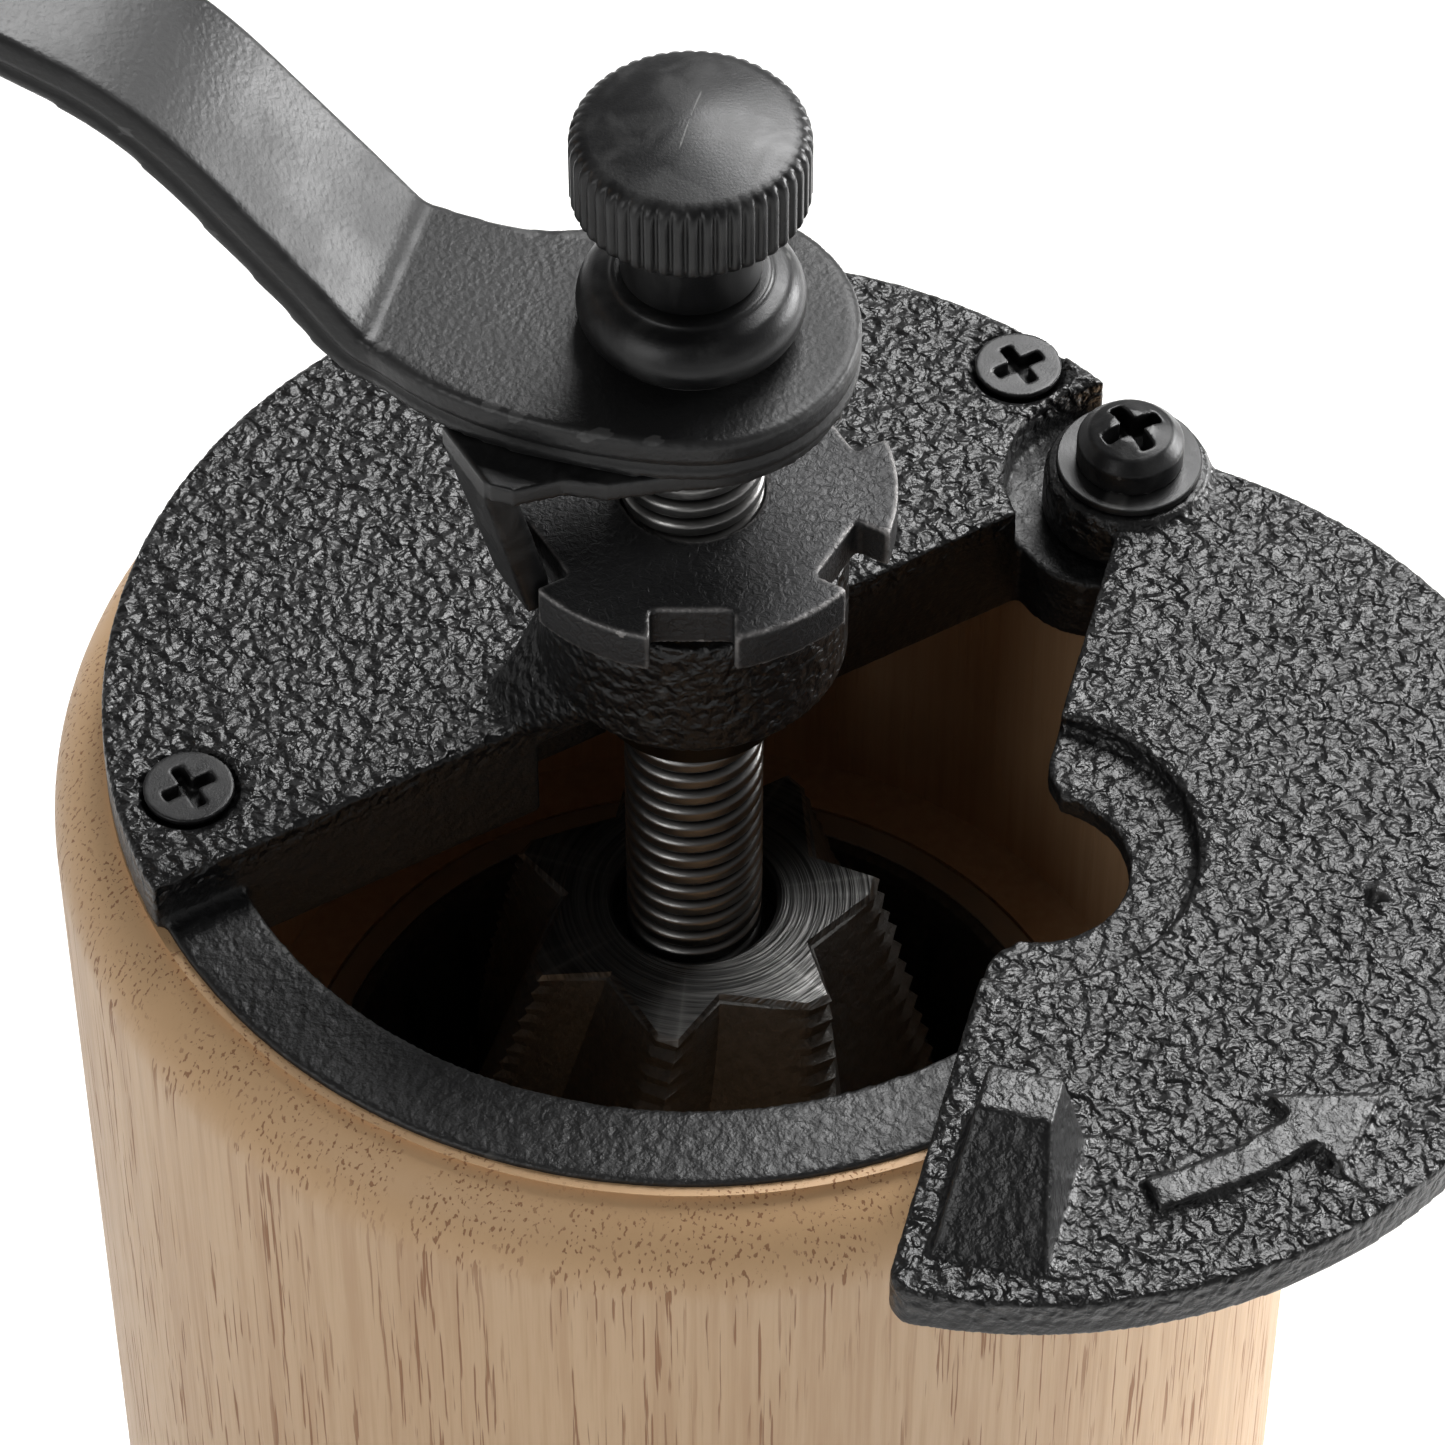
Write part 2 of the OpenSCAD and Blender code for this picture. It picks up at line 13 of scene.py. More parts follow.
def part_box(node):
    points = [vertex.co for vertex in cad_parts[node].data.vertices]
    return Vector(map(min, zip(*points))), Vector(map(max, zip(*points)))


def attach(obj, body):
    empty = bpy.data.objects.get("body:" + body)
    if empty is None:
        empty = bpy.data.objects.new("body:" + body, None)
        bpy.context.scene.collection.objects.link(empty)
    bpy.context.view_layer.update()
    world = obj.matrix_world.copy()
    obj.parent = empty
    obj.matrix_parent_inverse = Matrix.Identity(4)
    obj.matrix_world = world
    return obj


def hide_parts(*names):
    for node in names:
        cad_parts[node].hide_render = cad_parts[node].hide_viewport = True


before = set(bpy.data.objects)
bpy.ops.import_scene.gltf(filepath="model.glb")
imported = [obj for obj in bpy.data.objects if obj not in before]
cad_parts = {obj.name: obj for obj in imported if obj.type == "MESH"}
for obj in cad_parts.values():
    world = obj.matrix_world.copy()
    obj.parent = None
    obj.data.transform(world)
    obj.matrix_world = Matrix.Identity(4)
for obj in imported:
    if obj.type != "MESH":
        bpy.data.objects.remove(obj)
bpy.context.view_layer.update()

MM = 0.001
WELD_DISTANCE = 0.002 * MM

# Boxes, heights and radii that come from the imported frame
SHAFT_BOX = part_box("shaft")
WOOD_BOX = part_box("wood_body")
CUP_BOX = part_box("grounds_cup")
NUT_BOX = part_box("thumb_nut")
COLLAR_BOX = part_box("collar")
BURR_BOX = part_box("inner_burr")
GRIP_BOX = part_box("grip")
WOOD_TOP = WOOD_BOX[1].z / MM
WOOD_R = WOOD_BOX[1].x / MM
BURR_TOP = BURR_BOX[1].z / MM

# Values that part.scad holds too
PLATE_TOP = 152.0
SEAT_Z = PLATE_TOP - 10
RECESS_R = 41.6
HOPPER_R = 35.2
HOPPER_FLOOR = PLATE_TOP - 50
HOLDER_LOW = HOPPER_FLOOR - 20
WOOD_EDGE_R = 7.0
SPIGOT_R = 38.0
PAD_R = 38.0
PAD_TOP = 2.4
FIT = 0.06
ARM_DIR = math.radians(134.5)
ARM_LOW = PLATE_TOP + 33
ARM_T = 3.6
ARM_RISE = 16.5
ARM_LIFT = 7.0
BEND_START = 21.2
BEND_END = 36.5
LIFT_END = 54.0
ARM_REACH = 105.0
ARM_TIP_R = 8.0
ARM_END_R = 11.4
SHAFT_R = 5.0
STUD_R = 3.0
FLATS_HALF = 4.4
NECK_R = 4.7
HEAD_LOW = PLATE_TOP + 48.2
HEAD_H = 6.1
KNURLS = 50
BURR_TEETH = 7
BURR_TOP_R = 13.8

# The shaft is a plain cylinder in part.scad, so its thread is set here
THREAD_PITCH = 1.8


# ---------------------------------------------------------------- mesh helpers

def to_metres(points):
    """Vectors in metres from points in millimetres."""
    return [Vector(p) * MM for p in points]


def mesh_object(name, points, faces, smooth=True):
    """New object from points in millimetres."""
    mesh = bpy.data.meshes.new(name)
    mesh.from_pydata(to_metres(points), [], faces)
    mesh.validate()
    mesh.update()
    for face in mesh.polygons:
        face.use_smooth = smooth
    obj = bpy.data.objects.new(name, mesh)
    bpy.context.scene.collection.objects.link(obj)
    return obj


def apply_modifiers(obj):
    """Bakes the object's modifiers into its mesh."""
    graph = bpy.context.evaluated_depsgraph_get()
    graph.update()
    mesh = bpy.data.meshes.new_from_object(obj.evaluated_get(graph))
    obj.modifiers.clear()
    obj.data = mesh
    for face in mesh.polygons:
        face.use_smooth = True


def grid_faces(rows, columns, closed_rows=False):
    """Quads of a grid whose columns run round an axis."""
    faces = []
    last = rows if closed_rows else rows - 1
    for i in range(last):
        low = i * columns
        high = ((i + 1) % rows) * columns
        for j in range(columns):
            k = (j + 1) % columns
            faces.append((low + j, low + k, high + k, high + j))
    return faces


def lathe(name, profile, segments=160, centre=(0.0, 0.0)):
    """Turned piece from a closed profile of (radius, height) pairs."""
    points = []
    for radius, height in profile:
        for j in range(segments):
            angle = 2 * math.pi * j / segments
            x = centre[0] + radius * math.cos(angle)
            y = centre[1] + radius * math.sin(angle)
            points.append((x, y, height))
    obj = mesh_object(name, points, grid_faces(len(profile), segments, closed_rows=True))
    weld_and_point_outwards(obj)
    return obj


def weld_and_point_outwards(obj, distance=WELD_DISTANCE):
    """Joins points that meet, drops empty faces and turns every face outwards."""
    mesh = bmesh.new()
    mesh.from_mesh(obj.data)
    bmesh.ops.remove_doubles(mesh, verts=mesh.verts, dist=distance)
    bmesh.ops.dissolve_degenerate(mesh, edges=mesh.edges, dist=distance / 4)
    bmesh.ops.recalc_face_normals(mesh, faces=mesh.faces)
    mesh.to_mesh(obj.data)
    mesh.free()
    for face in obj.data.polygons:
        face.use_smooth = True


def round_corners(profile, radius, steps):
    """The closed profile with each corner replaced by a small arc-like curve, except on the axis."""
    axis_radius = 1e-6
    longest_share = 0.45
    out = []
    count = len(profile)
    for i in range(count):
        before = Vector(profile[i - 1])
        here = Vector(profile[i])
        after = Vector(profile[(i + 1) % count])
        if here.x < axis_radius:
            out.append(tuple(here))
            continue
        reach_in = min(radius, (before - here).length * longest_share)
        reach_out = min(radius, (after - here).length * longest_share)
        start = here + (before - here).normalized() * reach_in
        end = here + (after - here).normalized() * reach_out
        for step in range(steps + 1):
            t = step / steps
            out.append(tuple(start * (1 - t) ** 2 + here * 2 * t * (1 - t) + end * t ** 2))
    return out


def subdivide_profile(profile, longest):
    """Splits the profile's long runs, so that a displaced or shaded surface has points to use."""
    out = []
    count = len(profile)
    for i in range(count):
        here = Vector(profile[i])
        after = Vector(profile[(i + 1) % count])
        parts = max(1, math.ceil((after - here).length / longest))
        for step in range(parts):
            out.append(tuple(here.lerp(after, step / parts)))
    return out


def copy_of(node, name):
    """Welded copy of a CAD node's mesh."""
    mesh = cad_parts[node].data.copy()
    mesh.name = name
    mesh.materials.clear()
    obj = bpy.data.objects.new(name, mesh)
    bpy.context.scene.collection.objects.link(obj)
    weld_and_point_outwards(obj)
    return obj


def soften(obj, voxel, rounds):
    """Even mesh with rounded edges: a voxel remesh and a light smoothing."""
    remesh = obj.modifiers.new("even", "REMESH")
    remesh.mode = "VOXEL"
    remesh.voxel_size = voxel * MM
    smooth = obj.modifiers.new("round", "SMOOTH")
    smooth.iterations = rounds
    smooth.factor = 0.5
    apply_modifiers(obj)


def sharpen(obj, angle=38):
    """Keeps edges crisp where faces meet at more than the angle, in degrees."""
    obj.data.set_sharp_from_angle(angle=math.radians(angle))


def roughen(obj, size, depth, mask):
    """Pushes points inwards by smooth noise, as on a sand casting. mask(place) is the share of the depth."""
    mesh = obj.data
    normals = [Vector(v.normal) for v in mesh.vertices]
    for vertex, normal in zip(mesh.vertices, normals):
        place = vertex.co / MM
        amount = depth * mask(place)
        height = 0.5 + 0.5 * noise.noise(place / size)
        vertex.co -= normal * amount * height * MM
    mesh.update()


def place(obj, body, nodes, slot, material):
    """Gives the piece its material and body, and hides the CAD nodes that it stands for. The slot argument
    is not used.
    """
    obj.data.materials.clear()
    obj.data.materials.append(material)
    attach(obj, body)
    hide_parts(*nodes)


# ---------------------------------------------------------------- material helpers

class Shader:
    """A Principled material with object coordinates in millimetres. Its methods add nodes."""

    def __init__(self, name):
        self.material = bpy.data.materials.new(name)
        self.material.use_nodes = True
        self.tree = self.material.node_tree
        self.bsdf = self.tree.nodes["Principled BSDF"]
        coordinates = self.tree.nodes.new("ShaderNodeTexCoord")
        scale = self.tree.nodes.new("ShaderNodeVectorMath")
        scale.operation = "SCALE"
        scale.inputs["Scale"].default_value = 1 / MM
        self.tree.links.new(coordinates.outputs["Object"], scale.inputs[0])
        self.place = scale.outputs["Vector"]

    def link(self, source, target):
        """Sets a socket from a number, a tuple or another node's socket."""
        if isinstance(source, (int, float)):
            target.default_value = source
        elif isinstance(source, tuple):
            target.default_value = (*source, 1.0) if len(target.default_value) == 4 else source
        else:
            self.tree.links.new(source, target)

    def stretched(self, x, y, z):
        """Coordinates multiplied along each axis."""
        node = self.tree.nodes.new("ShaderNodeVectorMath")
        node.operation = "MULTIPLY"
        self.tree.links.new(self.place, node.inputs[0])
        node.inputs[1].default_value = (x, y, z)
        return node.outputs["Vector"]

    def pair(self, x, y):
        """Coordinates whose X and Y are two values of the surface."""
        node = self.tree.nodes.new("ShaderNodeCombineXYZ")
        self.link(x, node.inputs["X"])
        self.link(y, node.inputs["Y"])
        return node.outputs["Vector"]

    def noise(self, scale, detail=2.0, roughness=0.5, distortion=0.0, place=None):
        node = self.tree.nodes.new("ShaderNodeTexNoise")
        node.inputs["Scale"].default_value = scale
        node.inputs["Detail"].default_value = detail
        node.inputs["Roughness"].default_value = roughness
        node.inputs["Distortion"].default_value = distortion
        self.tree.links.new(place or self.place, node.inputs["Vector"])
        return node.outputs["Fac"]

    def cells(self, scale):
        """Soft round pebbles."""
        node = self.tree.nodes.new("ShaderNodeTexVoronoi")
        node.feature = "SMOOTH_F1"
        node.inputs["Scale"].default_value = scale
        self.tree.links.new(self.place, node.inputs["Vector"])
        return node.outputs["Distance"]

    def maths(self, operation, a, b=0.0):
        node = self.tree.nodes.new("ShaderNodeMath")
        node.operation = operation
        self.link(a, node.inputs[0])
        self.link(b, node.inputs[1])
        return node.outputs["Value"]

    def fit(self, value, low, high, to_low=0.0, to_high=1.0):
        """Maps low..high smoothly to to_low..to_high, clamped."""
        node = self.tree.nodes.new("ShaderNodeMapRange")
        node.interpolation_type = "SMOOTHSTEP"
        self.link(value, node.inputs["Value"])
        node.inputs["From Min"].default_value = low
        node.inputs["From Max"].default_value = high
        node.inputs["To Min"].default_value = to_low
        node.inputs["To Max"].default_value = to_high
        return node.outputs["Result"]

    def axis(self, name):
        node = self.tree.nodes.new("ShaderNodeSeparateXYZ")
        self.tree.links.new(self.place, node.inputs[0])
        return node.outputs[name]

    def radius(self, x=0.0, y=0.0):
        """Distance from an upright axis."""
        dx = self.maths("SUBTRACT", self.axis("X"), x)
        dy = self.maths("SUBTRACT", self.axis("Y"), y)
        squares = self.maths("ADD", self.maths("MULTIPLY", dx, dx), self.maths("MULTIPLY", dy, dy))
        return self.maths("SQRT", squares)

    def edges(self, low, high):
        """1 on convex edges, 0 on flat and hollow places. It rises from pointiness low to high."""
        node = self.tree.nodes.new("ShaderNodeNewGeometry")
        return self.fit(node.outputs["Pointiness"], low, high)

    def mix(self, factor, a, b):
        node = self.tree.nodes.new("ShaderNodeMix")
        node.data_type = "RGBA"
        self.link(factor, node.inputs[0])
        self.link(a, node.inputs[6])
        self.link(b, node.inputs[7])
        return node.outputs[2]

    def bump(self, height, distance, strength=1.0, under=None):
        """Bump whose distance is in millimetres."""
        node = self.tree.nodes.new("ShaderNodeBump")
        self.link(strength, node.inputs["Strength"])
        node.inputs["Distance"].default_value = distance * MM
        self.link(height, node.inputs["Height"])
        if under is not None:
            self.tree.links.new(under, node.inputs["Normal"])
        return node.outputs["Normal"]

    def set(self, color, roughness, normal=None, metallic=0.0, specular=0.5):
        self.link(color, self.bsdf.inputs["Base Color"])
        self.link(roughness, self.bsdf.inputs["Roughness"])
        self.bsdf.inputs["Metallic"].default_value = metallic
        self.bsdf.inputs["Specular IOR Level"].default_value = specular
        if normal is not None:
            self.tree.links.new(normal, self.bsdf.inputs["Normal"])
        return self.material


# ---------------------------------------------------------------- materials

def cast_black_material(name, relief_share):
    """Gloss black paint over a coarse casting, finer and duller on the low ledge, with a painted highlight
    on its edges.

    relief_share is how much of the coarse grain is left on what stands above the flat face.
    """
    s = Shader(name)
    above_ledge = s.fit(s.axis("Z"), PLATE_TOP - 3.4, PLATE_TOP - 0.9)
    below_relief = s.fit(s.axis("Z"), PLATE_TOP + 0.2, PLATE_TOP + 0.65, 1.0, relief_share)
    face_share = s.maths("ADD", 0.25, s.maths("MULTIPLY", above_ledge, 0.75))
    coarse_share = s.maths("MULTIPLY", face_share, below_relief)
    worms = s.noise(1.05, detail=1.8, roughness=0.45, distortion=0.45)
    pebbles = s.cells(1.25)
    fine = s.noise(2.8, detail=2.5, roughness=0.55)
    coarse = s.maths("ADD", s.maths("MULTIPLY", worms, 1.3), s.maths("MULTIPLY", pebbles, 0.8))
    normal = s.bump(coarse, 0.36, strength=coarse_share)
    normal = s.bump(fine, 0.10, strength=0.8, under=normal)
    # Painted highlight: convex edges are lightened in patches, standing in for the bright rims that light
    # gives the rounded edges.
    rim_highlight = s.maths("MULTIPLY", s.edges(0.52, 0.60), s.noise(0.6, detail=4.0))
    tone = s.mix(s.noise(0.05, detail=3.0), (0.0025, 0.0025, 0.003), (0.007, 0.007, 0.007))
    color = s.mix(rim_highlight, tone, (0.06, 0.058, 0.055))
    dull = s.fit(s.noise(0.9, detail=3.0), 0.3, 0.7, 0.28, 0.40)
    roughness = s.maths("ADD", dull, s.maths("MULTIPLY", s.maths("SUBTRACT", 1.0, above_ledge), 0.12))
    return s.set(color, roughness, normal)


def arm_paint_material():
    """Satin black with a fine leather grain, and convex edges lightened as a painted highlight."""
    s = Shader("arm_paint")
    fine = s.noise(4.5, detail=3.0, roughness=0.6)
    grain = s.maths("ADD", s.cells(2.3), s.maths("MULTIPLY", fine, 0.8))
    normal = s.bump(grain, 0.035, strength=0.8)
    smudge = s.noise(0.09, detail=4.0, roughness=0.6)
    tone = s.mix(smudge, (0.006, 0.006, 0.0065), (0.013, 0.013, 0.013))
    # Painted highlight: the convex edges are lightened, standing in for the light caught by the rounded
    # rims.
    color = s.mix(s.maths("MULTIPLY", s.edges(0.51, 0.57), 0.6), tone, (0.08, 0.08, 0.08))
    return s.set(color, s.fit(smudge, 0.35, 0.65, 0.34, 0.46), normal, specular=0.36)


def nut_iron_material():
    """Phosphated iron with fine wrinkles and worn bright edges."""
    s = Shader("nut_iron")
    wrinkles = s.noise(1.9, detail=3.5, roughness=0.6, distortion=0.7)
    normal = s.bump(wrinkles, 0.15, strength=0.9)
    smudge = s.noise(0.18, detail=4.0)
    tone = s.mix(smudge, (0.012, 0.012, 0.0125), (0.026, 0.026, 0.027))
    patches = s.fit(s.noise(0.7, detail=3.0), 0.3, 0.6, 0.4, 1.0)
    worn = s.maths("MULTIPLY", s.edges(0.508, 0.56), patches)
    color = s.mix(worn, tone, (0.26, 0.25, 0.245))
    dull = s.fit(smudge, 0.3, 0.7, 0.38, 0.50)
    roughness = s.maths("SUBTRACT", dull, s.maths("MULTIPLY", worn, 0.10))
    return s.set(color, roughness, normal, metallic=0.35)


def black_oxide_material():
    """Blackened steel with light finger smudges."""
    s = Shader("black_oxide")
    smudge = s.noise(0.28, detail=5.0, roughness=0.62, distortion=0.6)
    fine = s.noise(5.5, detail=3.0, roughness=0.6)
    normal = s.bump(fine, 0.02, strength=0.7)
    tone = s.mix(s.fit(smudge, 0.42, 0.72), (0.008, 0.008, 0.0085), (0.026, 0.026, 0.026))
    color = s.mix(s.maths("MULTIPLY", s.edges(0.54, 0.64), 0.5), tone, (0.16, 0.16, 0.155))
    return s.set(color, s.fit(smudge, 0.3, 0.75, 0.30, 0.46), normal, metallic=0.25)


def thread_steel_material():
    """Dark bright steel: clean ridges, oil and dirt in the grooves."""
    s = Shader("thread_steel")
    ridge = s.fit(s.radius(), SHAFT_R - 0.55, SHAFT_R - 0.1)
    fine = s.noise(2.0, detail=4.0, place=s.stretched(1, 1, 6))
    normal = s.bump(fine, 0.02, strength=0.6)
    color = s.mix(ridge, (0.012, 0.0115, 0.011), (0.24, 0.236, 0.23))
    dull = s.fit(fine, 0.3, 0.7, 0.40, 0.50)
    roughness = s.maths("SUBTRACT", dull, s.maths("MULTIPLY", ridge, 0.10))
    return s.set(color, roughness, normal, metallic=1.0)


def burr_material():
    """Cast burr: rough dark flanks and a machined top with round brush marks."""
    s = Shader("burr_iron")
    top = s.fit(s.axis("Z"), BURR_TOP - 0.5, BURR_TOP - 0.2)
    off_centre = s.radius(0.6, -0.4)
    rings = s.pair(s.maths("MULTIPLY", off_centre, 3.4), s.maths("MULTIPLY", s.axis("X"), 0.12))
    brushed = s.fit(s.noise(1.0, detail=2.5, roughness=0.6, place=rings), 0.32, 0.68)
    cast = s.noise(1.1, detail=5.0, roughness=0.62)
    flank_share = s.maths("SUBTRACT", 1.0, s.maths("MULTIPLY", top, 0.97))
    normal = s.bump(cast, 0.30, strength=flank_share)
    normal = s.bump(brushed, 0.05, strength=s.maths("MULTIPLY", top, 0.9), under=normal)
    rough_tone = s.mix(cast, (0.050, 0.049, 0.047), (0.150, 0.146, 0.138))
    fine_tone = s.mix(brushed, (0.045, 0.045, 0.044), (0.15, 0.148, 0.143))
    tone = s.mix(top, rough_tone, fine_tone)
    color = s.mix(s.maths("MULTIPLY", s.edges(0.54, 0.64), 0.7), tone, (0.34, 0.335, 0.325))
    return s.set(color, s.fit(top, 0.0, 1.0, 0.58, 0.40), normal, metallic=0.8)


def wood_material(name, edge_height=None, dark_radius=None):
    """Oiled light hardwood. The grain runs along Z, so pores are dashes on the side and dots on the ends.

    Above edge_height the rounded shoulder is warmer, and inside dark_radius the bore is darker.
    """
    s = Shader(name)
    bands = s.noise(0.16, detail=3.0, roughness=0.5, distortion=0.3, place=s.stretched(1, 1, 0.05))
    streaks = s.noise(1.1, detail=4.0, roughness=0.6, place=s.stretched(1, 1, 0.025))
    fibres = s.noise(5.5, detail=3.0, roughness=0.6, place=s.stretched(1, 1, 0.03))
    pores = s.noise(3.2, detail=2.0, roughness=0.5, place=s.stretched(1, 1, 0.03))
    clusters = s.noise(0.22, detail=2.0, place=s.stretched(1, 1, 0.12))
    pore = s.maths("MULTIPLY", s.fit(pores, 0.585, 0.645), s.fit(clusters, 0.37, 0.54))
    light = s.mix(bands, (0.525, 0.345, 0.20), (0.62, 0.435, 0.27))
    tone = s.mix(s.fit(streaks, 0.38, 0.68, 0.0, 0.6), light, (0.44, 0.265, 0.14))
    tone = s.mix(s.fit(fibres, 0.45, 0.80, 0.0, 0.25), tone, (0.45, 0.29, 0.17))
    if edge_height is not None:
        end_grain = s.fit(s.axis("Z"), edge_height, edge_height + 4.5)
        warm = s.mix(streaks, (0.56, 0.335, 0.165), (0.66, 0.43, 0.23))
        tone = s.mix(s.maths("MULTIPLY", end_grain, 0.85), tone, warm)
    color = s.mix(s.maths("MULTIPLY", pore, 0.78), tone, (0.24, 0.10, 0.042))
    if dark_radius is not None:
        outside = s.fit(s.radius(), dark_radius, dark_radius + 1.2)
        inner = s.mix(streaks, (0.42, 0.25, 0.135), (0.60, 0.40, 0.23))
        color = s.mix(outside, inner, color)
    height = s.maths("SUBTRACT", s.maths("MULTIPLY", fibres, 0.25), pore)
    normal = s.bump(height, 0.05, strength=0.7)
    dull = s.fit(fibres, 0.3, 0.7, 0.44, 0.54)
    roughness = s.maths("ADD", dull, s.maths("MULTIPLY", pore, 0.2))
    return s.set(color, roughness, normal, specular=0.4)


def turned_metal_material(name, dark, light, roughness):
    """Turned or cast metal with fine rings and slight stains."""
    s = Shader(name)
    rings = s.pair(s.maths("MULTIPLY", s.radius(), 5.0), s.maths("MULTIPLY", s.axis("Z"), 5.0))
    turned = s.noise(1.0, detail=3.0, place=rings)
    stain = s.noise(0.12, detail=4.0)
    color = s.mix(s.maths("MULTIPLY", s.maths("ADD", turned, stain), 0.5), dark, light)
    normal = s.bump(turned, 0.02, strength=0.6)
    dull = s.fit(stain, 0.3, 0.7, roughness - 0.06, roughness + 0.08)
    return s.set(color, dull, normal, metallic=1.0)


def rubber_material():
    """Matt black rubber with a fine grain."""
    s = Shader("rubber")
    grain = s.noise(2.5, detail=4.0)
    normal = s.bump(grain, 0.05, strength=0.7)
    color = s.mix(s.noise(0.08, detail=4.0), (0.020, 0.020, 0.020), (0.042, 0.042, 0.041))
    return s.set(color, s.fit(grain, 0.3, 0.7, 0.68, 0.84), normal, specular=0.3)


CAST_TOP = cast_black_material("cast_black", relief_share=0.9)
CAST_LID = cast_black_material("cast_black_lid", relief_share=0.25)
ARM_PAINT = arm_paint_material()
NUT_IRON = nut_iron_material()
BLACK_OXIDE = black_oxide_material()
THREAD_STEEL = thread_steel_material()
BURR_IRON = burr_material()
BODY_WOOD = wood_material("body_wood", edge_height=WOOD_TOP - 7.5, dark_radius=HOPPER_R + 1.2)
CUP_WOOD = wood_material("cup_wood")
GRIP_WOOD = wood_material("grip_wood")
STEEL = turned_metal_material("steel", (0.32, 0.32, 0.325), (0.52, 0.52, 0.515), 0.34)
LIGHT_METAL = turned_metal_material("light_metal", (0.48, 0.47, 0.45), (0.64, 0.63, 0.60), 0.46)
BRONZE = turned_metal_material("bronze", (0.38, 0.26, 0.12), (0.56, 0.41, 0.20), 0.36)
# Bronze darkened as painted shade, for the hub bushing that sits in the shadow under the star nut.
BRONZE_PAINTED_SHADE = turned_metal_material("bronze_painted_shade", (0.030, 0.024, 0.017), (0.065, 0.05, 0.032), 0.38)
RUBBER = rubber_material()


# ---------------------------------------------------------------- cast top and lid

def softened_castings():
    """The cast top and the lid, with rounded edges and a cast skin, shallower below the flat face."""
    face_low = PLATE_TOP - 1.5
    for node, body, material in (("top_plate", "mill_body", CAST_TOP), ("lid", "swing_lid", CAST_LID)):
        piece = copy_of(node, node + "_cast")
        soften(piece, voxel=0.3, rounds=4)
        roughen(piece, size=0.75, depth=0.09, mask=lambda p: 1.0 if p.z > face_low else 0.5)
        place(piece, body, [node], "cast_black", material)


def softened_hardware():
    """Small stamped and headed parts that only need rounded edges."""
    rows = (
        ("adjusting_nut", "setting_nut", "dark_iron", NUT_IRON, 0.22, 5),
        ("lock_plate", "spindle", "black_steel", BLACK_OXIDE, 0.20, 4),
        ("plate_screws", "mill_body", "black_steel", BLACK_OXIDE, 0.14, 3),
        ("lid_screw", "mill_body", "black_steel", BLACK_OXIDE, 0.15, 4),
    )
    for node, body, slot, material, voxel, rounds in rows:
        piece = copy_of(node, node + "_soft")
        soften(piece, voxel=voxel, rounds=rounds)
        place(piece, body, [node], slot, material)


# ---------------------------------------------------------------- crank

def smooth_step(value, start, end):
    """0 up to start, 1 from end on, and a smooth rise between."""
    t = min(max((value - start) / (end - start), 0.0), 1.0)
    return t * t * (3 - 2 * t)


def bend_height(s):
    """Height of the crank's underside above its flat end, at the distance s from the shaft."""
    runs = ((BEND_START, BEND_END, ARM_RISE), (BEND_END, LIFT_END, ARM_LIFT))
    return sum(rise * min(max((s - start) / (end - start), 0.0), 1.0) for start, end, rise in runs)


def bent(s):
    """Underside's height and slope angle, with the folds rounded by averaging over a short window."""
    window = 1.4 + 2.6 * smooth_step(s, BEND_START + 3, BEND_END - 4)
    samples = 9
    total = sum(bend_height(s + window * (2 * k / (samples - 1) - 1)) for k in range(samples)) / samples
    ahead, behind = bend_height(s + window), bend_height(s - window)
    return total, math.atan2(ahead - behind, 2 * window)


def arm_outline():
    """Plan of the straightened crank: a round end for the shaft, a waist, and a round end for the grip."""
    tip_start = ARM_REACH - ARM_TIP_R
    right = [(0, -11.0), (4, -9.9), (8.5, -6.9), (12, -5.6), (16, -5.5), (BEND_START, -6.3),
             (BEND_END, -6.2), (LIFT_END, -6), (tip_start, -6)]
    left = [(tip_start, 6), (LIFT_END, 6), (BEND_END, 6.2), (BEND_START, 7.5), (15.6, 10.2),
            (10.8, 11.4), (5, 11.8), (0, 11.5)]
    tip = [math.radians(9.5 * k) for k in range(-8, 9)]
    end = [math.radians(100 + 11 * k) for k in range(1, 16)]
    outline = list(right)
    outline += [(ARM_REACH + ARM_TIP_R * math.cos(a), ARM_TIP_R * math.sin(a)) for a in tip]
    outline += left
    outline += [(ARM_END_R * math.cos(a), ARM_END_R * math.sin(a)) for a in end]
    return rounded_run(outline)


def rounded_run(outline):
    """One round of corner cutting on the closed outline."""
    out = []
    for i, here in enumerate(outline):
        after = outline[(i + 1) % len(outline)]
        for t in (0.25, 0.75):
            out.append((here[0] + (after[0] - here[0]) * t, here[1] + (after[1] - here[1]) * t))
    return out


def prism(name, outline, low, high):
    """Upright solid on a plan outline."""
    count = len(outline)
    points = [(x, y, low) for x, y in outline] + [(x, y, high) for x, y in outline]
    faces = [tuple(reversed(range(count))), tuple(range(count, 2 * count))]
    for i in range(count):
        k = (i + 1) % count
        faces.append((i, k, count + k, count + i))
    obj = mesh_object(name, points, faces)
    weld_and_point_outwards(obj)
    return obj


def crank():
    """Forged crank: rounded edges, a shallow line along its side, and two smooth bends."""
    arm = prism("crank_forged", arm_outline(), 0, ARM_T)
    soften(arm, voxel=0.28, rounds=9)
    groove_height, groove_half, groove_depth = 1.35, 0.45, 0.28
    normals = [Vector(v.normal) for v in arm.data.vertices]
    for vertex, normal in zip(arm.data.vertices, normals):
        x, y, z = vertex.co / MM
        depth = groove_depth * (1 - abs(normal.z)) * max(0.0, 1 - abs(z - groove_height) / groove_half)
        x -= normal.x * depth
        y -= normal.y * depth
        height, slope = bent(x)
        centre = z - ARM_T / 2
        along = x - centre * math.sin(slope)
        up = ARM_LOW + ARM_T / 2 + height + centre * math.cos(slope)
        vertex.co = Vector((
            along * math.cos(ARM_DIR) - y * math.sin(ARM_DIR),
            along * math.sin(ARM_DIR) + y * math.cos(ARM_DIR),
            up)) * MM
    arm.data.update()
    place(arm, "spindle", ["crank_arm"], "black_paint", ARM_PAINT)


